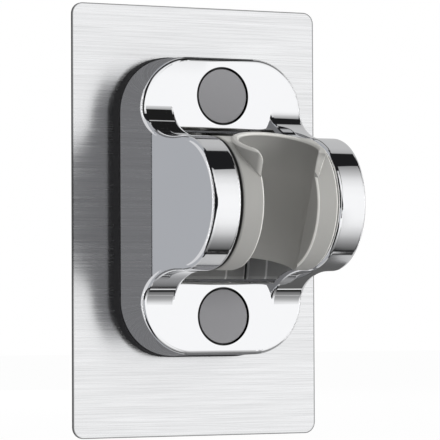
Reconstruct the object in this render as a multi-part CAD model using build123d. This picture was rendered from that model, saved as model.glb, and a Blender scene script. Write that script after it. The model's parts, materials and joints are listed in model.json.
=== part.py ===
"""Stick-on hand shower holder: a brushed wall plate, a chromed twin-arm body and a tilting grey cup.

Frame, in millimetres: +Z is up, the wall is the plane Y = 0 and the holder stands out of it towards -Y.
The origin is the centre of the plate's adhesive back. Heights off the wall are written as positive values.
"""
import math
import os

from build123d import *

# Driving sizes: the wall plate and what sticks it to the wall
PLATE_WIDTH = 76.4
PLATE_HEIGHT = 120.0
PLATE_THICKNESS = 0.8
PLATE_CORNER_R = 3.2
ADHESIVE_THICKNESS = 1.0
ADHESIVE_INSET = 0.8

# Driving sizes: the chromed body
BASE_HALF_WIDTH = 25.5
BASE_HALF_HEIGHT = 41.4
BASE_CORNER_R = 15.6
GASKET_THICKNESS = 3.6
GASKET_LIP = 0.2
PAD_RISE = 12.5
DRAFT_DEG = 2.5
WALL = 2.4
EDGE_R = 1.2

# Driving sizes: the arms and the pivot
PIVOT_Z = 3.8
PIVOT_RISE = 20.0
BARREL_R = 18.1
ARM_ROOT_RISE = 9.0
ARM_ROOT_REACH = 17.5
SLOT_HALF_WIDTH = 14.7
WELL_CLEARANCE = 2.0
WELL_DEPTH = 5.0
WELL_DISH = 3.0
WELL_LIP_R = 1.6
ARM_CORE_HALF_HEIGHT = 13.0
ARM_CORE_RISE = 9.0

# Driving sizes: the tilting cup
TILT_DEG = 18.0
CUP_END_GAP = 0.3
CUP_OFFSET = 5.9
RIM_HEIGHT = 18.4
RIM_R = 13.0
COLLAR_ROOT_R = 11.5
COLLAR_ROOT_HEIGHT = 8.0
BORE_TOP_R = 10.8
BORE_BOTTOM_R = 9.7
CUP_FOOT = 16.4
HOSE_SLOT_HALF = 8.1
LIP_SPLAY_DEG = 30.0
LIP_CORNER_R = 3.5
RIM_EDGE_R = 0.7
STRIP_EDGE_R = 0.6
CUP_WALL = 2.0
CUP_RIB_HALF = 0.9
CUP_CORE_HALF_WIDTH = 11.0
CUP_CORE_HALF_HEIGHT = 13.0

# Driving sizes: the pivot fit
TRUNNION_R = 8.0
TRUNNION_LENGTH = 2.2
TRUNNION_CHAMFER = 0.6
TRUNNION_PLAY = 0.05
SOCKET_END_PLAY = 0.3
O_RING_SECTION_R = 0.8
O_RING_PLAY = 0.05
GROOVE_PLAY = 0.1

# Driving sizes: the fixing studs, nuts and covers
FIXING_INSET = 11.05
STUD_R = 2.5
STUD_CHAMFER = 0.5
STUD_TAIL = 1.2
STUD_FLANGE_R = 6.8
STUD_FLANGE_THICKNESS = 0.8
FLANGE_PLAY = 0.2
STUD_HOLE_PLAY = 0.3
THREAD_PLAY = 0.05
BOSS_WALL = 1.9
BOSS_FLOOR = 2.6
WASHER_R = 5.0
WASHER_THICKNESS = 1.0
NUT_ACROSS_FLATS = 8.0
NUT_HEIGHT = 4.0
NUT_CHAMFER = 0.45
NUT_WELL_R = 6.6
CAP_R = 7.55
CAP_THICKNESS = 1.65
CAP_GAP = 0.45
CAP_RECESS = 0.15
CAP_EDGE_R = 0.25
CAP_SKIRT_LENGTH = 2.2
CAP_SKIRT_WALL = 1.2
CAP_SKIRT_PLAY = 0.05

# Heights off the wall, worked out from the sizes above
PLATE_BACK = ADHESIVE_THICKNESS
PLATE_FRONT = PLATE_BACK + PLATE_THICKNESS
SHELL_BACK = PLATE_FRONT + GASKET_THICKNESS
PAD_FRONT = SHELL_BACK + PAD_RISE
PIVOT_OUT = PAD_FRONT + PIVOT_RISE
BARREL_FRONT = PIVOT_OUT + BARREL_R
WELL_FLOOR = PAD_FRONT - WELL_DEPTH
BOSS_TOP = SHELL_BACK + BOSS_FLOOR
NUT_BASE = BOSS_TOP + WASHER_THICKNESS
STUD_END = NUT_BASE + NUT_HEIGHT + STUD_TAIL
CAP_FRONT = PAD_FRONT - CAP_RECESS
CAP_LEDGE = CAP_FRONT - CAP_THICKNESS

# Other sizes that several pieces share
WELL_HALF_HEIGHT = BARREL_R + WELL_CLEARANCE
CUP_HALF_WIDTH = SLOT_HALF_WIDTH - CUP_END_GAP
GROOVE_DEPTH = 2 * O_RING_SECTION_R + O_RING_PLAY - CUP_END_GAP
CAP_SEAT_R = CAP_R + CAP_GAP
STUD_HOLE_R = STUD_R + STUD_HOLE_PLAY
FIXING_REACH = BASE_HALF_HEIGHT - FIXING_INSET
FIXING_HEIGHTS = {"upper": PIVOT_Z + FIXING_REACH, "lower": PIVOT_Z - FIXING_REACH}
# A block is made this much larger than what it trims, so that no two faces coincide
SPARE = 4.0
# Edges and faces that lie closer than this count as being at the same place
NEAR = 0.001


def facing(out, height=0.0):
    """A sketch plane parallel to the wall, out millimetres from it, looking away from the wall."""
    return Plane(origin=(0, -out, height), x_dir=(1, 0, 0), z_dir=(0, -1, 0))


def post(radius, low, high, height=0.0):
    """A round post square to the wall, between two distances from it."""
    return extrude(facing(low, height) * Circle(radius), amount=high - low)


def block(half_width, half_height, low, high, height=0.0):
    """A block square to the wall, centred on X = 0, between two distances from it."""
    return extrude(facing(low, height) * Rectangle(2 * half_width, 2 * half_height), amount=high - low)


def adhesive_sheet():
    """Clear adhesive on the plate's back, cleared round each stud's flange."""
    inset = 2 * ADHESIVE_INSET
    outline = RectangleRounded(PLATE_WIDTH - inset, PLATE_HEIGHT - inset, PLATE_CORNER_R - ADHESIVE_INSET)
    sheet = extrude(facing(0) * outline, amount=ADHESIVE_THICKNESS)
    for height in FIXING_HEIGHTS.values():
        sheet -= post(STUD_FLANGE_R + FLANGE_PLAY, -SPARE, PLATE_BACK + SPARE, height)
    return sheet


def face_plate():
    """Thin brushed plate with rounded corners and two stud holes."""
    outline = RectangleRounded(PLATE_WIDTH, PLATE_HEIGHT, PLATE_CORNER_R)
    plate = extrude(facing(PLATE_BACK) * outline, amount=PLATE_THICKNESS)
    for height in FIXING_HEIGHTS.values():
        plate -= post(STUD_R + THREAD_PLAY, -SPARE, PLATE_FRONT + SPARE, height)
    return plate


def stud(height):
    """Stud whose broad flange lies behind the plate, inside the adhesive."""
    shank = post(STUD_R, PLATE_BACK - STUD_FLANGE_THICKNESS, STUD_END, height)
    tip = shank.edges().sort_by(Axis.Y)[0]
    shank = chamfer(tip, STUD_CHAMFER)
    return shank + post(STUD_FLANGE_R, PLATE_BACK - STUD_FLANGE_THICKNESS, PLATE_BACK, height)


def base_gasket():
    """Black rubber gasket between the plate and the body."""
    half_width = BASE_HALF_WIDTH + GASKET_LIP
    half_height = BASE_HALF_HEIGHT + GASKET_LIP
    outline = RectangleRounded(2 * half_width, 2 * half_height, BASE_CORNER_R + GASKET_LIP)
    sheet = extrude(facing(PLATE_FRONT, PIVOT_Z) * outline, amount=GASKET_THICKNESS)
    for height in FIXING_HEIGHTS.values():
        sheet -= post(STUD_HOLE_R, PLATE_FRONT - SPARE, SHELL_BACK + SPARE, height)
    return sheet


def drafted_prism(inset, rise):
    """The body's drafted outline, drawn in by inset all round, from the body's back to a given rise."""
    outline = RectangleRounded(
        2 * (BASE_HALF_WIDTH - inset), 2 * (BASE_HALF_HEIGHT - inset), BASE_CORNER_R - inset
    )
    return extrude(facing(SHELL_BACK, PIVOT_Z) * outline, amount=rise, taper=DRAFT_DEG)


def arm_slice():
    """The body right of the slot: a side profile of pad, curved roots and barrel, run out sideways."""
    reach = BASE_HALF_HEIGHT + SPARE
    slab = Pos(-(SHELL_BACK + PAD_FRONT) / 2, 0) * Rectangle(PAD_RISE, 2 * reach)
    neck = Pos(-(SHELL_BACK + PIVOT_OUT) / 2, 0) * Rectangle(PIVOT_OUT - SHELL_BACK, 2 * BARREL_R)
    barrel = Pos(-PIVOT_OUT, 0) * Circle(BARREL_R)
    profile = slab + neck + barrel + arm_root(1) + arm_root(-1)
    inner_side = Plane(origin=(SLOT_HALF_WIDTH, 0, PIVOT_Z), x_dir=(0, 1, 0), z_dir=(1, 0, 0))
    arm = extrude(inner_side * profile, amount=BASE_HALF_WIDTH + SPARE - SLOT_HALF_WIDTH)
    inner_face = arm.faces().sort_by(Axis.X)[0]
    front_edges = inner_face.edges().filter_by(
        lambda e: -e.center().Y > SHELL_BACK + EDGE_R and abs(e.center().Z - PIVOT_Z) < reach - EDGE_R
    )
    return fillet(front_edges, EDGE_R)


def arm_root(side):
    """One curved root between pad and arm in the side profile: a corner less a quarter ellipse."""
    middle = Pos(-(PAD_FRONT + ARM_ROOT_REACH), side * (BARREL_R + ARM_ROOT_RISE))
    reach = ARM_ROOT_REACH + SPARE
    rise = ARM_ROOT_RISE + SPARE
    corner = middle * Pos(reach / 2, -side * rise / 2) * Rectangle(reach, rise)
    return corner - middle * Ellipse(ARM_ROOT_REACH, ARM_ROOT_RISE)


def body_shell():
    """Chromed body: drafted base, two arms with pivot sockets, a well between them and two bosses."""
    arm = arm_slice()
    floor = block(SLOT_HALF_WIDTH + 2 * EDGE_R, BASE_HALF_HEIGHT + SPARE, SHELL_BACK, PAD_FRONT, PIVOT_Z)
    outside = drafted_prism(0, BARREL_FRONT + SPARE - SHELL_BACK)
    body = (floor + arm + mirror(arm, Plane.YZ)) & outside

    rim = body.edges().filter_by(lambda e: -e.center().Y > PAD_FRONT - NEAR and on_side(e, outside))
    body = fillet(rim, EDGE_R)

    body -= well()
    lip = body.edges().filter_by(
        lambda e: abs(-e.center().Y - PAD_FRONT) < NEAR
        and abs(abs(e.center().Z - PIVOT_Z) - WELL_HALF_HEIGHT) < NEAR
    )
    body = fillet(lip, WELL_LIP_R)

    body -= back_hollow()
    for height in FIXING_HEIGHTS.values():
        body -= post(STUD_HOLE_R, SHELL_BACK - SPARE, PAD_FRONT, height)
        body -= post(NUT_WELL_R, BOSS_TOP, PAD_FRONT + SPARE, height)
        body -= post(CAP_SEAT_R, CAP_LEDGE, PAD_FRONT + SPARE, height)
    socket_depth = TRUNNION_LENGTH + SOCKET_END_PLAY - CUP_END_GAP
    socket = cross_cylinder(TRUNNION_R + TRUNNION_PLAY, SLOT_HALF_WIDTH + socket_depth)
    return body - Pos(0, -PIVOT_OUT, PIVOT_Z) * socket


def well():
    """The space between the arms behind the cup, its floor dished about an axis along X."""
    dish_r = (WELL_HALF_HEIGHT ** 2 + WELL_DISH ** 2) / (2 * WELL_DISH)
    dish = Pos(0, -WELL_FLOOR - dish_r, PIVOT_Z) * cross_cylinder(dish_r, SLOT_HALF_WIDTH + SPARE)
    return dish & block(SLOT_HALF_WIDTH, WELL_HALF_HEIGHT, WELL_FLOOR - SPARE, PAD_FRONT + SPARE, PIVOT_Z)


def on_side(edge, prism):
    """True where an edge lies on the drafted sides of a prism."""
    sides = prism.faces().sort_by(Axis.Y)[1:-1]
    return any(side.distance_to(edge.center()) < NEAR for side in sides)


def back_hollow():
    """The hollow moulded into the body's back, leaving even walls, the well's floor and the bosses."""
    hollow = drafted_prism(WALL, PAD_RISE - WALL)
    hollow -= block(
        SLOT_HALF_WIDTH + WALL, WELL_HALF_HEIGHT + WALL, WELL_FLOOR - WALL, PAD_FRONT, PIVOT_Z
    )
    for height in FIXING_HEIGHTS.values():
        hollow -= post(CAP_SEAT_R + BOSS_WALL, SHELL_BACK - SPARE, PAD_FRONT, height)
    core_top = PAD_FRONT + ARM_CORE_RISE
    side_wall = BASE_HALF_WIDTH - (core_top - SHELL_BACK) * math.tan(math.radians(DRAFT_DEG))
    core_width = side_wall - SLOT_HALF_WIDTH - 2 * WALL
    core_middle = SLOT_HALF_WIDTH + WALL + core_width / 2
    core = block(core_width / 2, ARM_CORE_HALF_HEIGHT, SHELL_BACK, core_top, PIVOT_Z)
    return hollow + Pos(core_middle, 0, 0) * core + Pos(-core_middle, 0, 0) * core


def washer(height):
    """Flat washer on the boss floor."""
    ring = post(WASHER_R, BOSS_TOP, NUT_BASE, height)
    return ring - post(STUD_R + THREAD_PLAY, BOSS_TOP - SPARE, NUT_BASE + SPARE, height)


def nut(height):
    """Hexagon nut with chamfered corners."""
    hexagon = RegularPolygon(NUT_ACROSS_FLATS / 2, 6, major_radius=False)
    prism = extrude(facing(NUT_BASE, height) * hexagon, amount=NUT_HEIGHT)
    corner_r = NUT_ACROSS_FLATS / math.sqrt(3)
    turned = post(corner_r, NUT_BASE, NUT_BASE + NUT_HEIGHT, height)
    turned = chamfer(turned.edges().filter_by(GeomType.CIRCLE), NUT_CHAMFER)
    hole = post(STUD_R + THREAD_PLAY, NUT_BASE - SPARE, NUT_BASE + NUT_HEIGHT + SPARE, height)
    return (prism & turned) - hole


def cap(height):
    """Grey press-in cover: a flat disc with a skirt that grips the nut well."""
    disc = post(CAP_R, CAP_LEDGE, CAP_FRONT, height)
    disc = fillet(disc.edges().sort_by(Axis.Y)[0], CAP_EDGE_R)
    skirt_r = NUT_WELL_R - CAP_SKIRT_PLAY
    skirt_end = CAP_LEDGE - CAP_SKIRT_LENGTH
    skirt = post(skirt_r, skirt_end, CAP_LEDGE, height)
    skirt -= post(skirt_r - CAP_SKIRT_WALL, skirt_end - SPARE, CAP_LEDGE, height)
    return disc + skirt


def cross_cylinder(radius, half_length):
    """A cylinder lying across the holder, along X."""
    return Rot(0, 90, 0) * Cylinder(radius, 2 * half_length)


def bore_radius(height):
    """The bore's radius at a height above the pivot."""
    slope = (BORE_TOP_R - BORE_BOTTOM_R) / (RIM_HEIGHT + BARREL_R)
    return BORE_TOP_R + slope * (height - RIM_HEIGHT)


def bore_cone(low, high, grow=0.0):
    """The tapered bore between two heights over the pivot, before the cup is tilted."""
    upright = (Align.CENTER, Align.CENTER, Align.MIN)
    cone = Cone(bore_radius(low) + grow, bore_radius(high) + grow, high - low, align=upright)
    return Pos(0, -CUP_OFFSET, low) * cone


def cradle():
    """Tilting cup: a cross barrel with a tapered bore, a flared collar, a hose slot and two trunnions."""
    cup = slotted_barrel() + collar() - bore_tool()
    cup -= Pos(0, 0, -CUP_FOOT - BARREL_R) * Box(4 * BARREL_R, 4 * BARREL_R, 2 * BARREL_R)
    cup -= back_core()
    for side in (1, -1):
        trunnion = Cylinder(TRUNNION_R, TRUNNION_LENGTH, align=(Align.CENTER, Align.CENTER, Align.MIN))
        trunnion = chamfer(trunnion.edges().sort_by(Axis.Z)[-1], TRUNNION_CHAMFER)
        groove = Cylinder(TRUNNION_R + 2 * O_RING_SECTION_R + GROOVE_PLAY, 2 * GROOVE_DEPTH)
        groove -= Cylinder(TRUNNION_R, 2 * GROOVE_DEPTH)
        end = Rot(0, 90 * side, 0)
        cup -= Pos(side * CUP_HALF_WIDTH, 0, 0) * end * groove
        cup += Pos(side * CUP_HALF_WIDTH, 0, 0) * end * trunnion
    return cup


def slotted_barrel():
    """The cross barrel with the hose slot at its front, rounded where the hose rubs."""
    reach = 2 * BARREL_R
    barrel = cross_cylinder(BARREL_R, CUP_HALF_WIDTH)
    barrel = fillet(barrel.edges().filter_by(GeomType.CIRCLE), STRIP_EDGE_R)
    barrel -= Pos(0, -CUP_OFFSET - reach / 2, 0) * Box(2 * HOSE_SLOT_HALF, reach, 2 * reach)
    slot_edges = barrel.edges().filter_by(
        lambda e: abs(abs(e.center().X) - HOSE_SLOT_HALF) < NEAR and e.geom_type == GeomType.CIRCLE
    )
    return fillet(slot_edges, STRIP_EDGE_R)


def collar():
    """The cup's flared upper wall, open at the front, its two lips splayed and rounded at their tops."""
    section = Polygon(
        (BORE_BOTTOM_R - CUP_WALL, COLLAR_ROOT_HEIGHT),
        (COLLAR_ROOT_R, COLLAR_ROOT_HEIGHT),
        (RIM_R, RIM_HEIGHT),
        (BORE_BOTTOM_R - CUP_WALL, RIM_HEIGHT),
        align=None,
    )
    section = fillet(section.vertices().sort_by(Axis.X)[-1], RIM_EDGE_R)
    ring = Pos(0, -CUP_OFFSET, 0) * revolve(Plane.XZ * section, Axis.Z)
    lip_out = CUP_OFFSET + math.sqrt(bore_radius(RIM_HEIGHT) ** 2 - HOSE_SLOT_HALF ** 2)
    reach = 2 * RIM_R
    far = HOSE_SLOT_HALF + reach * math.tan(math.radians(LIP_SPLAY_DEG))
    mouth = Polygon(
        (-HOSE_SLOT_HALF, 0),
        (HOSE_SLOT_HALF, 0),
        (HOSE_SLOT_HALF, -lip_out),
        (far, -lip_out - reach),
        (-far, -lip_out - reach),
        (-HOSE_SLOT_HALF, -lip_out),
        align=None,
    )
    ring -= extrude(mouth, amount=reach, both=True)
    corner = Box(LIP_CORNER_R, 3 * LIP_CORNER_R, LIP_CORNER_R, align=(Align.MIN, Align.CENTER, Align.MIN))
    corner -= Pos(LIP_CORNER_R, 0, 0) * Rot(90, 0, 0) * Cylinder(LIP_CORNER_R, 4 * LIP_CORNER_R)
    lip = Pos(HOSE_SLOT_HALF, -lip_out, RIM_HEIGHT - LIP_CORNER_R) * Rot(0, 0, LIP_SPLAY_DEG)
    ring -= lip * corner
    return ring - mirror(lip * corner, Plane.YZ)


def bore_tool():
    """What the tapered bore takes out of the cup, eased over the rim's inner edge."""
    ease_low = RIM_HEIGHT - RIM_EDGE_R
    ease_r = bore_radius(ease_low)
    ease = Pos(ease_r, RIM_HEIGHT - RIM_EDGE_R / 2) * Rectangle(2 * RIM_EDGE_R, RIM_EDGE_R)
    ease -= Pos(ease_r + RIM_EDGE_R, ease_low) * Circle(RIM_EDGE_R)
    eased_rim = Pos(0, -CUP_OFFSET, 0) * revolve(Plane.XZ * ease, Axis.Z)
    return bore_cone(-BARREL_R - SPARE, RIM_HEIGHT + SPARE) + eased_rim


def back_core():
    """The hollow moulded into the cup's back, either side of a middle rib."""
    depth = BARREL_R + SPARE
    core = Pos(0, depth / 2, 0) * Box(2 * CUP_CORE_HALF_WIDTH, depth, 2 * CUP_CORE_HALF_HEIGHT)
    core -= bore_cone(-BARREL_R, RIM_HEIGHT, CUP_WALL)
    return core - Box(2 * CUP_RIB_HALF, 2 * depth, 2 * depth)


def o_ring(side):
    """Rubber ring in the groove round a trunnion. It rubs on the arm and so holds the cup's tilt."""
    middle = CUP_HALF_WIDTH - GROOVE_DEPTH + O_RING_SECTION_R
    ring = Torus(TRUNNION_R + O_RING_SECTION_R, O_RING_SECTION_R)
    return Pos(side * middle, 0, 0) * Rot(0, 90, 0) * ring


def tilted(shape):
    """Places a piece of the cup on the pivot, leaning out by the tilt at rest."""
    return Pos(0, -PIVOT_OUT, PIVOT_Z) * Rot(TILT_DEG, 0, 0) * shape


def all_parts():
    """Every piece of the holder by name."""
    parts = {
        "adhesive_sheet": adhesive_sheet(),
        "face_plate": face_plate(),
        "base_gasket": base_gasket(),
        "body_shell": body_shell(),
        "cradle": tilted(cradle()),
        "o_ring_left": tilted(o_ring(-1)),
        "o_ring_right": tilted(o_ring(1)),
    }
    for place, height in FIXING_HEIGHTS.items():
        parts["stud_" + place] = stud(height)
        parts["washer_" + place] = washer(height)
        parts["nut_" + place] = nut(height)
        parts["cap_" + place] = cap(height)
    return parts


os.makedirs("parts", exist_ok=True)
for name, shape in all_parts().items():
    export_step(shape, "parts/" + name + ".step")
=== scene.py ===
"""Looks of a stick-on hand shower holder, laid out as an add-on and run as a script.

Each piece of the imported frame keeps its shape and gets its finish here: brushed plate, chromed body, grey
cup, rubber and steel. The stage is a small photo studio: pale floor, soft lamps and reflection tents.
"""
import json
import math

import bpy
import numpy as np
from mathutils import Matrix, Vector


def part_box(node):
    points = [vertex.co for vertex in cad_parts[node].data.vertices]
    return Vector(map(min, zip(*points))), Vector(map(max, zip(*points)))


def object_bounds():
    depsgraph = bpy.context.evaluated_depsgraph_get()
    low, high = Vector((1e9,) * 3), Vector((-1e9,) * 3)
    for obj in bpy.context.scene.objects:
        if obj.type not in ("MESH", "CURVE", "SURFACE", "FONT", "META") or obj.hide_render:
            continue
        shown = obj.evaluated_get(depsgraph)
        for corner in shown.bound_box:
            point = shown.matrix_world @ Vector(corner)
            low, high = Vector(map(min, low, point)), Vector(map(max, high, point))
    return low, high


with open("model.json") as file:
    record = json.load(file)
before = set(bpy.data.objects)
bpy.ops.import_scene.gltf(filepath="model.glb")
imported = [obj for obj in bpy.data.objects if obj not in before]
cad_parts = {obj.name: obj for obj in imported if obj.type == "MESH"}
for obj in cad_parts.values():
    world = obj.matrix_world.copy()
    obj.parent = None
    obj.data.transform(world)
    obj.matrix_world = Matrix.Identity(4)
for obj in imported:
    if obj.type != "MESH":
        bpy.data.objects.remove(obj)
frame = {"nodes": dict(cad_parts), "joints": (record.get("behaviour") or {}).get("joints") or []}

bl_info = {
    "name": "Hand Shower Holder",
    "version": (1, 0, 0),
    "blender": (4, 5, 0),
    "location": "View3D > Sidebar > Shower Holder",
    "description": "Finishes the pieces of a stick-on hand shower holder and sets up its studio",
    "category": "Object",
}

CAD_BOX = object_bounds()
# The cup's pivot in the frame, in metres
PIVOT = Vector(frame["joints"][0]["pos_m"])


# Shader maths

# A Mix node's sockets for colours: its share, its two colours and its result
MIX_SHARE = 0
MIX_FIRST = 6
MIX_SECOND = 7
MIX_RESULT = 2


class Wire:
    """A node's output socket, with operators that add Math nodes to its tree."""

    def __init__(self, tree, socket):
        self.tree = tree
        self.socket = socket

    def math(self, operation, *others):
        return self.tree.node("ShaderNodeMath", {"operation": operation}, [self, *others])

    def __add__(self, other):
        return self.math("ADD", other)

    def __sub__(self, other):
        return self.math("SUBTRACT", other)

    def __mul__(self, other):
        return self.math("MULTIPLY", other)

    def __truediv__(self, other):
        return self.math("DIVIDE", other)

    __radd__ = __add__
    __rmul__ = __mul__

    def reflected(self, operation, other):
        return self.tree.node("ShaderNodeMath", {"operation": operation}, [other, self])

    def __rsub__(self, other):
        return self.reflected("SUBTRACT", other)

    def __rtruediv__(self, other):
        return self.reflected("DIVIDE", other)

    def __gt__(self, other):
        return self.math("GREATER_THAN", other)

    def __lt__(self, other):
        return self.math("LESS_THAN", other)

    def __abs__(self):
        return self.math("ABSOLUTE")

    def clamp(self):
        """The value held between 0 and 1."""
        return self.tree.node("ShaderNodeClamp", {}, [self, 0.0, 1.0])


class Finish:
    """A material or world as a tree of nodes, with one method that adds any node."""

    def __init__(self, owner, surface, output):
        self.owner = owner
        owner.use_nodes = True
        self.tree = owner.node_tree
        self.tree.nodes.clear()
        self.surface = self.add(surface, {}, {})
        self.add(output, {}, {"Surface": Wire(self, self.surface.outputs[0])})

    def put(self, socket, value):
        """Links a wire to an input socket, or sets a plain value on it."""
        if isinstance(value, Wire):
            self.tree.links.new(value.socket, socket)
        else:
            socket.default_value = value

    def add(self, kind, settings, inputs):
        """Adds a node of a kind: its settings first, then its inputs by order or by name."""
        made = self.tree.nodes.new(kind)
        for name, value in settings.items():
            if name == "stops":
                self.ramp(made.color_ramp, value)
            else:
                setattr(made, name, value)
        pairs = inputs.items() if isinstance(inputs, dict) else enumerate(inputs)
        for key, value in pairs:
            self.put(made.inputs[key], value)
        return made

    def node(self, kind, settings, inputs, output=0):
        """Adds a node and returns one of its outputs as a wire."""
        return Wire(self, self.add(kind, settings, inputs).outputs[output])

    @staticmethod
    def ramp(color_ramp, stops):
        """Sets a colour ramp's stops from pairs of a position and a grey."""
        while len(color_ramp.elements) < len(stops):
            color_ramp.elements.new(1.0)
        for element, (position, grey) in zip(color_ramp.elements, stops):
            element.position = position
            element.color = (grey, grey, grey, 1.0)

    def shader(self, **inputs):
        """Sets the surface shader's inputs by name, with underscores for spaces."""
        for name, value in inputs.items():
            self.put(self.surface.inputs[name.replace("_", " ")], value)

    def feed(self, *values):
        """Sets the surface shader's inputs in order, where it joins other shaders."""
        for socket, value in zip(self.surface.inputs, values):
            self.put(socket, value)

    def place(self, scale=(1.0, 1.0, 1.0), turn=(0.0, 0.0, 0.0), shift=(0.0, 0.0, 0.0)):
        """Object coordinates through a mapping."""
        at = self.node("ShaderNodeTexCoord", {}, [], "Object")
        moves = {"Vector": at, "Location": shift, "Rotation": turn, "Scale": scale}
        return self.node("ShaderNodeMapping", {}, moves)

    def axes(self, at):
        """The three coordinates of a place as wires."""
        parts = self.add("ShaderNodeSeparateXYZ", {}, [at])
        return [Wire(self, parts.outputs[axis]) for axis in "XYZ"]

    def light_path(self, name):
        """One of the Light Path node's outputs."""
        return self.node("ShaderNodeLightPath", {}, [], name)

    def graded(self, stops, value):
        """A grey that a colour ramp gives for a value from 0 to 1."""
        return self.node("ShaderNodeValToRGB", {"stops": stops}, [value])

    def noise(self, at, scale, detail=2.0, roughness=0.5):
        """Noise between 0 and 1 at a place, scale given in bumps per metre."""
        sizes = {"Vector": at, "Scale": scale, "Detail": detail, "Roughness": roughness}
        return self.node("ShaderNodeTexNoise", {}, sizes)

    def blend(self, share, first, second):
        """Mixes two colours by a share from 0 to 1."""
        inputs = {MIX_SHARE: share, MIX_FIRST: first, MIX_SECOND: second}
        return self.node("ShaderNodeMix", {"data_type": "RGBA"}, inputs, MIX_RESULT)

    def bump(self, height, depth):
        """A bump normal from a height between 0 and 1 and its depth in metres."""
        return self.node("ShaderNodeBump", {}, {"Height": height, "Distance": depth, "Strength": 1.0})


def material(name, surface="ShaderNodeBsdfPrincipled"):
    """A new material whose surface is one shader."""
    return Finish(bpy.data.materials.new(name), surface, "ShaderNodeOutputMaterial")


def scaled(color, factor):
    """A colour made lighter or darker by a factor, with full alpha."""
    return (*(min(1.0, part * factor) for part in color), 1.0)


def wear(finish, *nodes):
    """Gives a finish to CAD nodes, in place of their plain one."""
    for name in nodes:
        slots = frame["nodes"][name].data.materials
        slots.clear()
        slots.append(finish.owner)


def rise(value, start, width):
    """0 up to a start, then growing to 1 over a width."""
    return ((value - start) / width).clamp()


def fall(value, end, width):
    """1 until a width short of an end, then shrinking to 0."""
    return ((end - value) / width).clamp()


def band(value, low, high, soft):
    """1 where a value lies between two limits, fading to 0 over a soft margin inside them."""
    return rise(value, low, soft) * fall(value, high, soft)


def length(first, second):
    """The length of the longest side of a right triangle."""
    return (first * first + second * second).math("SQRT")


# Sizes and colours that a user would change

class HolderPlate(bpy.types.PropertyGroup):
    """Brushed plate and the adhesive behind it."""

    color: bpy.props.FloatVectorProperty(
        name="Plate", description="Colour of the brushed steel", subtype="COLOR", size=3,
        default=(0.83, 0.835, 0.845))
    grain_width: bpy.props.FloatProperty(
        name="Grain width", description="Height of one brush line", subtype="DISTANCE", default=0.0003)
    grain_length: bpy.props.FloatProperty(
        name="Grain length", description="Length of one brush line", subtype="DISTANCE", default=0.028)
    grain_depth: bpy.props.FloatProperty(
        name="Grain depth", description="Depth of the brush lines", subtype="DISTANCE", default=0.000004)
    roughness: bpy.props.FloatProperty(
        name="Roughness", description="Blur of the plate's reflections", subtype="FACTOR", default=0.25)
    adhesive: bpy.props.FloatVectorProperty(
        name="Adhesive", description="Colour of the milky adhesive", subtype="COLOR", size=3,
        default=(0.80, 0.82, 0.83))


class HolderBody(bpy.types.PropertyGroup):
    """Chromed body, rubber gasket and rubber rings."""

    color: bpy.props.FloatVectorProperty(
        name="Chrome", description="Tint of the chrome plating", subtype="COLOR", size=3,
        default=(0.93, 0.935, 0.95))
    roughness: bpy.props.FloatProperty(
        name="Roughness", description="Blur of the chrome's reflections", subtype="FACTOR", default=0.02)
    ripple: bpy.props.FloatProperty(
        name="Ripple", description="Depth of the plating's faint ripple", subtype="DISTANCE",
        default=0.0000004)
    gasket: bpy.props.FloatVectorProperty(
        name="Rubber", description="Colour of the rubber gasket and rings", subtype="COLOR", size=3,
        default=(0.016, 0.016, 0.018))


class HolderCup(bpy.types.PropertyGroup):
    """Moulded plastic of the cup and the covers."""

    color: bpy.props.FloatVectorProperty(
        name="Cup", description="Colour of the cup's plastic", subtype="COLOR", size=3,
        default=(0.43, 0.425, 0.405))
    cover: bpy.props.FloatVectorProperty(
        name="Covers", description="Colour of the two covers", subtype="COLOR", size=3,
        default=(0.315, 0.313, 0.325))
    grain: bpy.props.FloatProperty(
        name="Grain", description="Size of the moulded surface's grain", subtype="DISTANCE", default=0.0006)
    # Painted shade: how much of the cup's colour is left in the bore, at the bore's top and in the slot
    bore_painted_shade: bpy.props.FloatProperty(
        name="Bore", description="Share of the cup's colour left in its bore", subtype="FACTOR", default=0.96)
    bore_top_painted_shade: bpy.props.FloatProperty(
        name="Bore top", description="Share of the cup's colour left at the top of its bore",
        subtype="FACTOR", default=0.66)
    slot_painted_shade: bpy.props.FloatProperty(
        name="Slot", description="Share of the cup's colour left in its slot", subtype="FACTOR", default=0.93)
    end_shade: bpy.props.FloatProperty(
        name="End", description="Share of the cup's colour left on its shaded end", subtype="FACTOR",
        default=0.12)
    # Painted highlight: how many times as light the cup's edges are made
    edge_painted_highlight: bpy.props.FloatProperty(
        name="Edges", description="How many times as light the cup's highlit edges are", default=2.25)


class HolderStudio(bpy.types.PropertyGroup):
    """Camera, lamps and world."""

    camera: bpy.props.FloatVectorProperty(
        name="Camera", description="Place of the camera", subtype="TRANSLATION", size=3,
        default=(-0.40302, -0.76093, -0.02357))
    yaw: bpy.props.FloatProperty(
        name="Yaw", description="Turn of the view to the left", subtype="ANGLE",
        default=math.radians(-28.425))
    pitch: bpy.props.FloatProperty(
        name="Pitch", description="Upward tilt of the view", subtype="ANGLE", default=math.radians(1.586))
    roll: bpy.props.FloatProperty(
        name="Roll", description="Roll of the view", subtype="ANGLE", default=math.radians(-0.239))
    lens: bpy.props.FloatProperty(
        name="Lens", description="Focal length in millimetres", default=251.16)
    half_pixel: bpy.props.FloatProperty(
        name="Shift", description="Half a pixel of the picture, as a share of its width", default=0.5 / 440)
    ambient: bpy.props.FloatProperty(
        name="Ambient", description="Strength of the light from all round", default=0.41)
    key: bpy.props.FloatProperty(
        name="Key lamp", description="Power of the main soft lamp", subtype="POWER", default=5.5)
    fill: bpy.props.FloatProperty(
        name="Fill lamp", description="Power of the second soft lamp", subtype="POWER", default=0.3)
    back: bpy.props.FloatProperty(
        name="Back lamp", description="Power of the lamp behind the plate", subtype="POWER", default=4.0)


GROUPS = {
    "holder_plate": HolderPlate,
    "holder_body": HolderBody,
    "holder_cup": HolderCup,
    "holder_studio": HolderStudio,
}


# Plate

PLATE_CORNER_R = 0.0032
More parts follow.
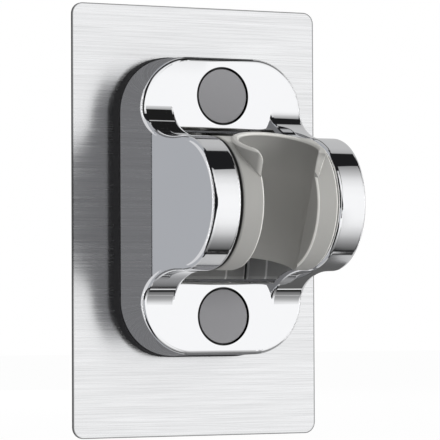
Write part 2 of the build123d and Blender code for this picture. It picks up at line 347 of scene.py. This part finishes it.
# How far in the cut edge's painted shade ends, and over what width it fades
PLATE_EDGE = 0.000375
PLATE_EDGE_SOFT = 0.00025
# Fine lines' share of the grain, broad lines for each fine one, their shift, and the grain's contrast
FINE_SHARE = 0.7
BROAD_COUNT = 0.35
BROAD_SHIFT = (3.0, 5.0, 7.0)
GRAIN_CONTRAST = 3.4
# Shares of the plate's colour between the lines, on them, and on the cut edge as painted shade
GRAIN_DARK = 0.88
GRAIN_LIGHT = 1.10
CUT_EDGE_PAINTED_SHADE = 0.22
PLATE_ROUGHNESS_SPREAD = 0.08
PLATE_ANISOTROPY = 0.6
QUARTER_TURN = 0.25
# The adhesive's clouds and bubbles, in bumps per metre, and what they change
CLOUD_SCALE = 90.0
BUBBLE_SCALE = 260.0
BUBBLE_DEPTH = 0.00005
CLOUD_DARK = 0.92
CLOUD_LIGHT = 1.04
GLUE_ROUGHNESS = 0.22
GLUE_ROUGHNESS_SPREAD = 0.15


def cut_edge(finish):
    """1 at the plate's cut edge and just inside it. It goes by the distance to a rectangle with round
    corners: the length of what lies past the corners' centres, both ways, less the corners' radius."""
    low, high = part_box("face_plate")
    across, _, height = finish.axes(finish.place())
    middle = (low[2] + high[2]) / 2
    past = [
        (abs(value) - (half - PLATE_CORNER_R)).math("MAXIMUM", 0.0)
        for value, half in ((across, (high[0] - low[0]) / 2), (height - middle, (high[2] - low[2]) / 2))]
    depth = PLATE_CORNER_R - length(*past)
    return fall(depth, PLATE_EDGE, PLATE_EDGE_SOFT)


class HOLDER_OT_plate(bpy.types.Operator):
    """Brushes the plate sideways and clouds the adhesive behind it."""

    bl_idname = "holder.plate"
    bl_label = "Finish the plate"

    def execute(self, context):
        look = context.scene.holder_plate
        steel = material("brushed_plate")
        line = (1.0 / look.grain_length, 1.0 / look.grain_width, 1.0 / look.grain_width)
        fine = steel.noise(steel.place(line), 1.0, detail=3.0, roughness=0.6)
        long_line = tuple(count * BROAD_COUNT for count in line)
        broad = steel.noise(steel.place(long_line, shift=BROAD_SHIFT), 1.0)
        mixed = fine * FINE_SHARE + broad * (1.0 - FINE_SHARE)
        grain = ((mixed - 0.5) * GRAIN_CONTRAST + 0.5).clamp()
        brushed = steel.blend(grain, scaled(look.color, GRAIN_DARK), scaled(look.color, GRAIN_LIGHT))
        # The cut edge is darkened in the base colour: painted shade.
        steel.shader(
            Base_Color=steel.blend(cut_edge(steel), brushed, scaled(look.color, CUT_EDGE_PAINTED_SHADE)),
            Metallic=1.0,
            Roughness=grain * PLATE_ROUGHNESS_SPREAD + (look.roughness - PLATE_ROUGHNESS_SPREAD / 2),
            Anisotropic=PLATE_ANISOTROPY,
            Anisotropic_Rotation=QUARTER_TURN,
            Normal=steel.bump(fine, look.grain_depth),
        )
        wear(steel, "face_plate")

        glue = material("adhesive")
        cloud = glue.noise(glue.place(), CLOUD_SCALE, detail=4.0)
        cells = {"Vector": glue.place(), "Scale": BUBBLE_SCALE}
        bubbles = glue.node("ShaderNodeTexVoronoi", {"feature": "SMOOTH_F1"}, cells, "Distance")
        milk = glue.blend(cloud, scaled(look.adhesive, CLOUD_DARK), scaled(look.adhesive, CLOUD_LIGHT))
        glue.shader(
            Base_Color=milk,
            Roughness=cloud * GLUE_ROUGHNESS_SPREAD + GLUE_ROUGHNESS,
            Normal=glue.bump(bubbles, BUBBLE_DEPTH),
        )
        wear(glue, "adhesive_sheet")
        return {"FINISHED"}


# Body and gasket

# Painted shade in the gap round each cover and on each cover's rim, with how softly each ends
COVER_GAP = 0.00045
COVER_GAP_SOFT = 0.0001
COVER_GAP_PAINTED_SHADE = 0.04
COVER_RIM = 0.00022
COVER_RIM_SOFT = 0.00012
COVER_RIM_PAINTED_SHADE = 0.06
# The plating's haze and ripple, in bumps per metre, and what the haze changes
HAZE_SCALE = 60.0
HAZE_DARK = 0.985
HAZE_ROUGHNESS = 0.02
RIPPLE_SCALE = 110.0
RIPPLE_SHIFT = (0.3, 0.1, 0.2)
# Moulded pieces: clouds in bumps per metre, what they change, and how far the roughness spreads
MOULD_CLOUD_SCALE = 45.0
MOULD_CLOUD_SHIFT = (0.1, 0.2, 0.3)
MOULD_DARK = 0.96
MOULD_LIGHT = 1.04
MOULD_ROUGHNESS_SPREAD = 0.12
RUBBER_GRAIN = 0.0004
RUBBER_ROUGHNESS = 0.62
RUBBER_DEPTH = 0.00004
PLASTIC_DEPTH = 0.00001


def cover_radius(finish):
    """Distance from the nearer cover's axis as a wire, and the covers' radius."""
    low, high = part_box("cap_upper")
    reach = (low[2] + high[2]) / 2 - PIVOT.z
    across, _, height = finish.axes(finish.place())
    return length(across, abs(height - PIVOT.z) - reach), high[0]


def moulded(name, color, grain, roughness, depth):
    """Moulded plastic or rubber with a pebbled grain and faint clouds, and its clouded colour as a wire."""
    finish = material(name)
    pebbles = finish.noise(finish.place(), 1.0 / grain)
    clouds = finish.noise(finish.place(shift=MOULD_CLOUD_SHIFT), MOULD_CLOUD_SCALE)
    tint = finish.blend(clouds, scaled(color, MOULD_DARK), scaled(color, MOULD_LIGHT))
    finish.shader(
        Base_Color=tint,
        Roughness=pebbles * MOULD_ROUGHNESS_SPREAD + (roughness - MOULD_ROUGHNESS_SPREAD / 2),
        Normal=finish.bump(pebbles, depth),
    )
    return finish, tint


class HOLDER_OT_body(bpy.types.Operator):
    """Chromes the body, with painted shade in the gap round each cover, and blackens the gasket and the
    rings.
    """

    bl_idname = "holder.body"
    bl_label = "Finish the body"

    def execute(self, context):
        look = context.scene.holder_body
        chrome = material("chrome")
        haze = chrome.noise(chrome.place(), HAZE_SCALE, detail=3.0)
        swell = chrome.noise(chrome.place(shift=RIPPLE_SHIFT), RIPPLE_SCALE, detail=1.0)
        radius, cover_r = cover_radius(chrome)
        # Painted shade: the chrome is darkened in the gap round each cover.
        gap = fall(radius, cover_r + COVER_GAP + COVER_GAP_SOFT, COVER_GAP_SOFT)
        plating = chrome.blend(haze, scaled(look.color, HAZE_DARK), scaled(look.color, 1.0))
        chrome.shader(
            Base_Color=chrome.blend(gap, plating, scaled(look.color, COVER_GAP_PAINTED_SHADE)),
            Metallic=1.0,
            Roughness=haze * HAZE_ROUGHNESS + look.roughness,
            Normal=chrome.bump(swell, look.ripple),
        )
        wear(chrome, "body_shell")
        rubber, _ = moulded("gasket", look.gasket, RUBBER_GRAIN, RUBBER_ROUGHNESS, RUBBER_DEPTH)
        wear(rubber, "base_gasket", "o_ring_left", "o_ring_right")
        return {"FINISHED"}


# Cup and covers

# The cup in its own frame, in metres: its pivot at the origin and its bore upright
CUP_TILT = math.radians(18.0)
CUP_BARREL_R = 0.0181
CUP_HALF_WIDTH = 0.0144
CUP_SLOT_HALF = 0.0081
RIM_HEIGHT = 0.0184
BORE_OUT = 0.0059
BORE_TOP_R = 0.0108
BORE_TAPER = 0.0301
COLLAR_ROOT = 0.008
LIP_OUT = 0.0130
LIP_SPLAY = math.tan(math.radians(30.0))
# How wide the painted edge highlights are, how softly painted shades end, how high the slot's highlight
# reaches
CUP_EDGE = 0.0006
RIM_EDGE = 0.0007
LIP_FADE = 0.0018
BORE_SOFT = 0.0004
SKIN_SOFT = 0.0003
EDGE_SOFT = 0.0002
END_SOFT = 0.0001
SLOT_EDGE_TOP = 0.0115
# How far the end's painted highlight reaches past it, how deep its painted shade goes, and the rim's
# highlight share
END_PAST = 0.0003
END_DEPTH = 0.00012
RIM_SHARE = 0.6
CUP_ROUGHNESS = 0.5
COVER_ROUGHNESS = 0.55


def cup_axes(finish):
    """Places in the cup's own frame as wires: across, out and up along the bore."""
    shift = Matrix.Rotation(-CUP_TILT, 3, "X") @ PIVOT
    across, back, height = finish.axes(finish.place(turn=(-CUP_TILT, 0.0, 0.0), shift=tuple(-shift)))
    return across, back * -1.0, height


class HOLDER_OT_cup(bpy.types.Operator):
    """Gives the cup its satin grey plastic, with painted shade in its bore, slot and left end and painted
    highlights on its edges.
    """

    bl_idname = "holder.cup"
    bl_label = "Finish the cup"

    def execute(self, context):
        look = context.scene.holder_cup
        plastic, tint = moulded("cup_plastic", look.color, look.grain, CUP_ROUGHNESS, PLASTIC_DEPTH)
        across, out, height = cup_axes(plastic)
        aside = abs(across)

        # Painted shade: the bore and the slot are darkened, the bore more towards its top.
        bore_r = (height - RIM_HEIGHT) * BORE_TAPER + BORE_TOP_R
        bore = fall(length(across, out - BORE_OUT), bore_r + BORE_SOFT, BORE_SOFT)
        slot = fall(aside, CUP_SLOT_HALF + BORE_SOFT, BORE_SOFT) * (out > BORE_OUT)
        top = rise(height, COLLAR_ROOT, RIM_HEIGHT - COLLAR_ROOT)
        inside = plastic.blend(
            top, scaled(look.color, look.bore_painted_shade), scaled(look.color, look.bore_top_painted_shade))
        tone = plastic.blend(bore, tint, inside)
        tone = plastic.blend(slot, tone, scaled(look.color, look.slot_painted_shade))

        # Painted highlights: lighter edges along the slot and the end, on the rim and on the lips.
        radius = length(out, height)
        skin = rise(radius, CUP_BARREL_R - CUP_EDGE, SKIN_SOFT)
        slot_edge = band(aside, CUP_SLOT_HALF - EDGE_SOFT, CUP_SLOT_HALF + CUP_EDGE, EDGE_SOFT)
        slot_edge = slot_edge * (height < SLOT_EDGE_TOP)
        end_edge = band(across, CUP_HALF_WIDTH - CUP_EDGE, CUP_HALF_WIDTH + END_PAST, EDGE_SOFT)
        rim = rise(height, RIM_HEIGHT - RIM_EDGE, SKIN_SOFT) * RIM_SHARE
        splay = CUP_SLOT_HALF + (out - LIP_OUT).math("MAXIMUM", 0.0) * LIP_SPLAY
        collar = (radius > CUP_BARREL_R + EDGE_SOFT) * (height > COLLAR_ROOT) * (1.0 - bore)
        lip = fall(aside - splay, LIP_FADE, LIP_FADE) * collar
        edges = (skin * (slot_edge + end_edge) + rim + lip).clamp()
        tone = plastic.blend(edges, tone, scaled(look.color, look.edge_painted_highlight))
        # Painted shade: the cup's left end is darkened.
        shaded_end = rise(aside, CUP_HALF_WIDTH - END_DEPTH, END_SOFT) * (across < 0.0)
        plastic.shader(Base_Color=plastic.blend(shaded_end, tone, scaled(look.color, look.end_shade)))
        wear(plastic, "cradle")
        return {"FINISHED"}


class HOLDER_OT_covers(bpy.types.Operator):
    """Gives the two covers their flat grey plastic, with painted shade round the rim."""

    bl_idname = "holder.covers"
    bl_label = "Finish the covers"

    def execute(self, context):
        look = context.scene.holder_cup
        plastic, tint = moulded("cap_plastic", look.cover, look.grain, COVER_ROUGHNESS, PLASTIC_DEPTH)
        radius, cover_r = cover_radius(plastic)
        # Painted shade: each cover is darkened round its rim.
        rim = rise(radius, cover_r - COVER_RIM, COVER_RIM_SOFT)
        plastic.shader(Base_Color=plastic.blend(rim, tint, scaled(look.cover, COVER_RIM_PAINTED_SHADE)))
        wear(plastic, "cap_upper", "cap_lower")
        return {"FINISHED"}


# Fixings

FIXING_KINDS = ("stud", "washer", "nut")
FIXING_SIDES = ("upper", "lower")
SPANGLE_SCALE = 900.0
SPANGLE_DARK = (0.50, 0.50, 0.52, 1.0)
SPANGLE_LIGHT = (0.68, 0.68, 0.70, 1.0)
ZINC_ROUGHNESS = 0.22
ZINC_ROUGHNESS_SPREAD = 0.15


class HOLDER_OT_fixings(bpy.types.Operator):
    """Gives the studs, washers and nuts their bright turned steel."""

    bl_idname = "holder.fixings"
    bl_label = "Finish the fixings"

    def execute(self, context):
        zinc = material("stud_steel")
        spangle = zinc.noise(zinc.place(), SPANGLE_SCALE, detail=3.0)
        zinc.shader(
            Base_Color=zinc.blend(spangle, SPANGLE_DARK, SPANGLE_LIGHT),
            Metallic=1.0,
            Roughness=spangle * ZINC_ROUGHNESS_SPREAD + ZINC_ROUGHNESS,
        )
        wear(zinc, *(kind + "_" + side for kind in FIXING_KINDS for side in FIXING_SIDES))
        return {"FINISHED"}


# Stage

WHITE = (1.0, 1.0, 1.0, 1.0)
# The floor: its drop below the part, its reach, its colour, and how white it is where it is seen
FLOOR_DROP = 0.012
FLOOR_REACH = 2.0
FLOOR_COLOR = (0.93, 0.93, 0.94, 1.0)
FLOOR_WHITE = 0.97
FLOOR_CORNERS = ((-1, -1), (1, -1), (1, 1), (-1, 1))
# The soft lamps: each one's place from the pivot and its width, in metres
LAMPS = {
    "key": ((0.64, -0.76, 0.10), 0.45),
    "fill": ((-0.3, -0.5, 0.8), 0.5),
    "back": ((0.1, 0.9, 0.05), 0.5),
}
SENSOR_WIDTH = 36.0
CLIP_START = 0.01

# Each reflection tent is a tube about the pivot's X axis, in metres
WHITE_TENT_R = 0.62
CHROME_TENT_R = 0.60
TENT_HALF_WIDTH = 0.95
TENT_SIDES = 256
# The rays that don't see the tents: all but mirrored ones
TENT_HIDDEN_FROM = ("camera", "diffuse", "transmission", "volume_scatter", "shadow")
# The white tent's greys behind and in front, and how fast one turns into the other, by the metre
WHITE_TENT_STOPS = ((0.0, 0.36), (1.0, 1.0))
WHITE_TENT_FADE = 4.0
# A ray depth above the first value is a second reflection, which leaves these tones of the two tents
MIRRORED_ONCE = 1.5
WHITE_DIM = (0.215, 0.215, 0.22, 1.0)
CHROME_DIM = (0.175, 0.175, 0.18, 1.0)
# Brightness of the chrome's tent by the angle about the pivot's X axis in degrees: 0 is straight out from
# the wall and 90 is straight up. The barrels mirror the first row, and the arms' roots, which lie further
# back, the second.
BARREL_STOPS = (
    (-180, 0.55), (-99.5, 0.55), (-97, 0.013), (-88, 0.012), (-84, 0.13), (-75, 0.22), (-63, 0.404),
    (-54, 0.62), (-45, 0.785), (-36, 0.935), (-24, 1.0), (12, 1.0), (27, 0.957), (39, 0.833), (45, 0.73),
    (51, 0.587), (57, 0.478), (61, 0.40), (66, 0.31), (72, 0.27), (97, 0.27), (99.5, 0.45), (112, 0.52),
    (180, 0.55),
)
ROOT_STOPS = (
    (-180, 0.12), (-94.7, 0.10), (-93.5, 0.95), (-90.8, 0.95), (-89.5, 0.013), (-82, 0.013), (-79, 0.143),
    (-73, 0.20), (-61, 0.28), (-49, 0.32), (-37, 0.42), (-25, 0.62), (-13, 0.82), (-8, 0.92), (-5.3, 1.0),
    (8.6, 1.0), (9.8, 0.80), (13, 0.68), (19, 0.56), (25, 0.47), (30.5, 0.45), (32.5, 0.013), (94, 0.013),
    (95, 0.65), (97.4, 0.65), (98.4, 0.013), (180, 0.013),
)
# The black gobo over the barrels, as angles about X: its lower edge rises between two places along X
GOBO_LEFT = 0.285
GOBO_RIGHT = 0.370
GOBO_LOW = math.radians(54.0)
GOBO_RISE = math.radians(14.0)
GOBO_HIGH = math.radians(97.5)
GOBO_SOFT = 0.02
GOBO_BLACK = (0.013, 0.013, 0.014, 1.0)
# Length of a ray from a barrel, less a share of how far across it lands; it grows by the angle's square
BARREL_RAY = 0.5944
RAY_LEAN = 0.229
RAY_GROWTH = 0.0020
RAY_MARGIN = 0.0011
# Where the roots' reflections start and end along X, and the place between the left roots and the right ones
ROOTS_FROM = 0.2
ROOTS_TO = 0.42
LEFT_ROOTS = 0.323
# The greys behind the pivot on the left: the nearer one, and the one that starts at a place along X
BEHIND_GREY = (0.415, 0.425, 0.447, 1.0)
SIDE_EDGE = -0.45
SIDE_GREY = (0.70, 0.70, 0.71, 1.0)
# The flag at the front left: it starts at this place along X and leaves this radius of the tent's end open
FLAG_EDGE = -0.25
FLAG_HOLE = 0.35
FLAG_BLACK = (0.012, 0.012, 0.013, 1.0)
# A grey window in the flag, as angles about X
WINDOW_LOW = math.radians(-38.0)
WINDOW_HIGH = math.radians(-7.0)
WINDOW_SOFT = math.radians(4.0)
WINDOW_GREY = (0.42, 0.43, 0.45, 1.0)
# For the left barrel's rounded crest, told by its place on X and the distance to the tent across X, the flag
# has no window: straight ahead it reaches past the middle and leaves less open. Above and below it tapers, by
# the radian.
CREST_X = -0.026
CREST_RAY = 0.5895
CREST_EDGE = 0.2
CREST_TAPER = 0.75
CREST_HOLE = 0.17
HOLE_TAPER = 0.34


def stage_object(name, mesh):
    """Puts a mesh on the stage."""
    made = bpy.data.objects.new(name, mesh)
    bpy.context.collection.objects.link(made)
    return made


def tent_object(name, radius):
    """A round tent about the pivot's X axis, closed at both ends, that only mirrored rays see. Its section is
    a circle, and each point of the circle is carried from one end of the tent to the other."""
    turn = np.tile(np.linspace(0.0, 2 * math.pi, TENT_SIDES, endpoint=False), 2)
    ends = np.repeat((-TENT_HALF_WIDTH, TENT_HALF_WIDTH), TENT_SIDES)
    points = np.stack([ends, PIVOT.y - radius * np.cos(turn), PIVOT.z + radius * np.sin(turn)], axis=-1)
    ring = np.arange(TENT_SIDES)
    ahead = np.roll(ring, -1)
    sides = np.stack([ring, ahead, ahead + TENT_SIDES, ring + TENT_SIDES], axis=-1)
    mesh = bpy.data.meshes.new(name)
    mesh.from_pydata(points.tolist(), [], [*sides.tolist(), ring.tolist(), (ring + TENT_SIDES).tolist()])
    tent = stage_object(name, mesh)
    for ray in TENT_HIDDEN_FROM:
        setattr(tent, "visible_" + ray, False)
    return tent


def link_light(source, state, *nodes):
    """Lets a glowing tent reach only these nodes, or all but these."""
    reached = bpy.data.collections.new(source.name + "_reach")
    for name in nodes:
        reached.objects.link(frame["nodes"][name])
    for member in reached.collection_objects:
        member.light_linking.link_state = state
    source.light_linking.receiver_collection = reached


def seen_directly(finish):
    """1 for what the camera, a mirror or clear material sees of a stage surface, and 0 for its light."""
    camera, mirror, clear = (
        finish.light_path("Is " + kind + " Ray") for kind in ("Camera", "Glossy", "Transmission"))
    return (camera + mirror + clear).clamp()


def mirrored_twice(finish):
    """1 for rays that come from a second reflection."""
    return finish.light_path("Ray Depth") > MIRRORED_ONCE


def soft_lamp(name, at, aim, width, power):
    """A square area lamp at a place, aimed at a point."""
    light = bpy.data.lights.new(name, "AREA")
    light.size = width
    light.energy = power
    lamp = bpy.data.objects.new(name, light)
    lamp.location = at
    lamp.rotation_euler = (aim - at).to_track_quat("-Z", "Y").to_euler()
    lamp.visible_glossy = False
    bpy.context.collection.objects.link(lamp)


class HOLDER_OT_stage(bpy.types.Operator):
    """Sets the floor, the lamps, the reflection tents, the world and the camera."""

    bl_idname = "holder.stage"
    bl_label = "Set the stage"

    def execute(self, context):
        look = context.scene.holder_studio
        self.set_world(context.scene, look)
        self.set_white_tent()
        self.set_chrome_tent()
        self.set_floor()
        self.set_lamps(look)
        self.set_camera(context.scene, look)
        context.scene.view_settings.view_transform = "Standard"
        return {"FINISHED"}

    def set_world(self, scene, look):
        """A world that is white where it is seen and lights the part at the ambient level."""
        scene.world = bpy.data.worlds.new("studio")
        sky = Finish(scene.world, "ShaderNodeBackground", "ShaderNodeOutputWorld")
        sky.shader(Color=WHITE, Strength=seen_directly(sky) * (1.0 - look.ambient) + look.ambient)

    def set_white_tent(self):
        """The tent that all but the chrome reflects: white in front and grey behind."""
        tent = tent_object("white_tent", WHITE_TENT_R)
        screen = material("white_tent", "ShaderNodeEmission")
        out = screen.axes(screen.place())[1] * -1.0
        shade = screen.graded(WHITE_TENT_STOPS, out * WHITE_TENT_FADE + 0.5)
        screen.shader(Color=screen.blend(mirrored_twice(screen), shade, WHITE_DIM), Strength=1.0)
        tent.data.materials.append(screen.owner)
        link_light(tent, "EXCLUDE", "body_shell")

    def set_chrome_tent(self):
        """The tent that only the chrome reflects, and that other pieces see through: white ahead, shaded
        above and below, grey behind, with a dark flag at the front left."""
        tent = tent_object("chrome_tent", CHROME_TENT_R)
        screen = material("chrome_tent", "ShaderNodeAddShader")
        across, back, height = screen.axes(screen.place())
        ahead = PIVOT.y - back
        angle = (height - PIVOT.z).math("ARCTAN2", ahead)
        ray = screen.light_path("Ray Length")
        twice = mirrored_twice(screen)

        barrels, roots = (
            screen.graded([(turn / 360 + 0.5, grey) for turn, grey in stops], angle / (2 * math.pi) + 0.5)
            for stops in (BARREL_STOPS, ROOT_STOPS))
        low_edge = rise(across, GOBO_LEFT, GOBO_RIGHT - GOBO_LEFT) * GOBO_RISE + GOBO_LOW
        barrels = screen.blend(band(angle, low_edge, GOBO_HIGH, GOBO_SOFT), barrels, GOBO_BLACK)
        reach = ray - across * RAY_LEAN
        off_barrel = abs(reach - angle * angle * RAY_GROWTH - BARREL_RAY) > RAY_MARGIN
        left_or_low = (across < LEFT_ROOTS).math("MAXIMUM", angle < 0.0)
        at_roots = left_or_low * (across > ROOTS_FROM) * (across < ROOTS_TO)
        shade = screen.blend(off_barrel.math("MAXIMUM", twice) * at_roots, barrels, roots)

        behind = ahead < 0.0
        shade = screen.blend((across < 0.0) * behind, shade, BEHIND_GREY)
        shade = screen.blend((across < SIDE_EDGE) * behind, shade, SIDE_GREY)

        in_front = ahead > 0.0
        flagged = across < FLAG_EDGE
        window = band(angle, WINDOW_LOW, WINDOW_HIGH, WINDOW_SOFT) * flagged * in_front
        shade = screen.blend(window, shade, WINDOW_GREY)
        radius = length(ahead, height - PIVOT.z)
        by_pad = flagged * (1.0 - window) * (radius > FLAG_HOLE)
        aside = across - CREST_X
        from_crest = ray * ray - aside * aside < CREST_RAY * CREST_RAY
        crest_edge = (CREST_EDGE - abs(angle) * CREST_TAPER).math("MAXIMUM", FLAG_EDGE)
        crest_hole = (abs(angle) * HOLE_TAPER + CREST_HOLE).math("MINIMUM", FLAG_HOLE)
        by_crest = from_crest * (across < crest_edge) * (radius > crest_hole)
        shade = screen.blend(by_pad.math("MAXIMUM", by_crest) * in_front, shade, FLAG_BLACK)
        shade = screen.blend(twice * (across < 0.0), shade, CHROME_DIM)

        light = screen.node("ShaderNodeEmission", {}, {"Color": shade})
        clear = screen.node("ShaderNodeBsdfTransparent", {}, {})
        screen.feed(light, clear)
        tent.data.materials.append(screen.owner)
        link_light(tent, "INCLUDE", "body_shell")

    def set_floor(self):
        """A pale floor under the part, nearly white where it is seen, that keeps the part's shadow."""
        low = CAD_BOX[0].z - FLOOR_DROP
        mesh = bpy.data.meshes.new("floor")
        corners = [(side * FLOOR_REACH, end * FLOOR_REACH, low) for side, end in FLOOR_CORNERS]
        mesh.from_pydata(corners, [], [tuple(range(len(corners)))])
        floor = stage_object("floor", mesh)
        floor.visible_glossy = False
        pale = material("floor", "ShaderNodeMixShader")
        matt = pale.node("ShaderNodeBsdfDiffuse", {}, {"Color": FLOOR_COLOR})
        white = pale.node("ShaderNodeEmission", {}, {"Color": WHITE})
        pale.feed(seen_directly(pale) * FLOOR_WHITE, matt, white)
        floor.data.materials.append(pale.owner)

    def set_lamps(self, look):
        """The soft lamps round the part, all aimed at the pivot."""
        for name, (offset, width) in LAMPS.items():
            soft_lamp(name, PIVOT + Vector(offset), PIVOT, width, getattr(look, name))

    def set_camera(self, scene, look):
        """The camera, turned by yaw and pitch and then rolled about its own view."""
        ahead = Vector((
            -math.sin(look.yaw) * math.cos(look.pitch),
            math.cos(look.yaw) * math.cos(look.pitch),
            math.sin(look.pitch)))
        level = Vector((math.cos(look.yaw), math.sin(look.yaw), 0.0))
        right = level * math.cos(look.roll) + level.cross(ahead) * math.sin(look.roll)
        upward = right.cross(ahead)
        lens = bpy.data.cameras.new("camera")
        lens.sensor_width = SENSOR_WIDTH
        lens.lens = look.lens
        lens.shift_x = -look.half_pixel
        lens.shift_y = look.half_pixel
        lens.clip_start = CLIP_START
        camera = bpy.data.objects.new("camera", lens)
        turn = Matrix((right, upward, -ahead)).transposed()
        camera.matrix_world = Matrix.Translation(Vector(look.camera)) @ turn.to_4x4()
        scene.collection.objects.link(camera)
        scene.camera = camera


# Add-on

OPERATORS = (
    HOLDER_OT_plate,
    HOLDER_OT_body,
    HOLDER_OT_cup,
    HOLDER_OT_covers,
    HOLDER_OT_fixings,
    HOLDER_OT_stage,
)


class HOLDER_PT_panel(bpy.types.Panel):
    """Lists the holder's pieces and their settings."""

    bl_idname = "HOLDER_PT_panel"
    bl_label = "Shower Holder"
    bl_space_type = "VIEW_3D"
    bl_region_type = "UI"
    bl_category = "Shower Holder"

    def draw(self, context):
        for operator in OPERATORS:
            self.layout.operator(operator.bl_idname)
        for group, kind in GROUPS.items():
            box = self.layout.box()
            for name in kind.__annotations__:
                box.prop(getattr(context.scene, group), name)


CLASSES = (*GROUPS.values(), *OPERATORS, HOLDER_PT_panel)


def register():
    for kind in CLASSES:
        bpy.utils.register_class(kind)
    for group, kind in GROUPS.items():
        setattr(bpy.types.Scene, group, bpy.props.PointerProperty(type=kind))


def unregister():
    for group in GROUPS:
        delattr(bpy.types.Scene, group)
    for kind in reversed(CLASSES):
        bpy.utils.unregister_class(kind)


def main():
    """Registers the add-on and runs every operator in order."""
    register()
    for operator in OPERATORS:
        family, action = operator.bl_idname.split(".")
        getattr(getattr(bpy.ops, family), action)()


if __name__ == "__main__":
    main()
